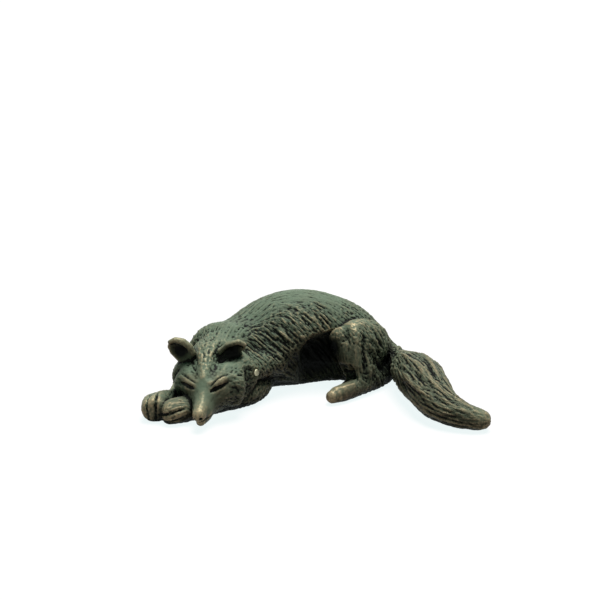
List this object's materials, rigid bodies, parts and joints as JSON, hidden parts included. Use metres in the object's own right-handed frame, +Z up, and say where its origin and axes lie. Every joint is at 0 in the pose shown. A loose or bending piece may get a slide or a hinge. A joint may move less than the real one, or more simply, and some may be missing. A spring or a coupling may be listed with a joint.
{
  "type": "fox figurine",
  "caption": "Bronze figurine of a fox that lies curled with its head over its forepaws and its brush swept forward; an ornament that rests on its flat underside.",
  "frame": {"origin": "on the surface that the figurine lies on, under the middle of its outline", "axes": "+Z up; +X along the fox from its forepaws to the tip of its brush; -Y is the side that its head faces"},
  "size_m": [0.1216, 0.0802, 0.033],
  "materials": {
    "patinated_bronze": "dark green-brown patina, satin, with coppery wear on raised edges",
    "plate_bronze": "filed flat, brown",
    "dowel_bronze": "bare drawn rod",
    "plug_bronze": "rubbed, paler than the castings"
  },
  "bodies": {
    "root": {"body_shell": "patinated_bronze", "belly_plate": "plate_bronze", "head": "patinated_bronze", "left_ear": "patinated_bronze", "right_ear": "patinated_bronze", "left_foreleg": "patinated_bronze", "right_foreleg": "patinated_bronze", "left_hind_leg": "patinated_bronze", "right_hind_leg": "patinated_bronze", "tail": "patinated_bronze", "neck_dowels": "dowel_bronze", "tail_dowel": "dowel_bronze", "foreleg_dowels": "dowel_bronze", "hind_leg_dowels": "dowel_bronze", "core_pin_plugs": "plug_bronze"}
  },
  "joints": []
}
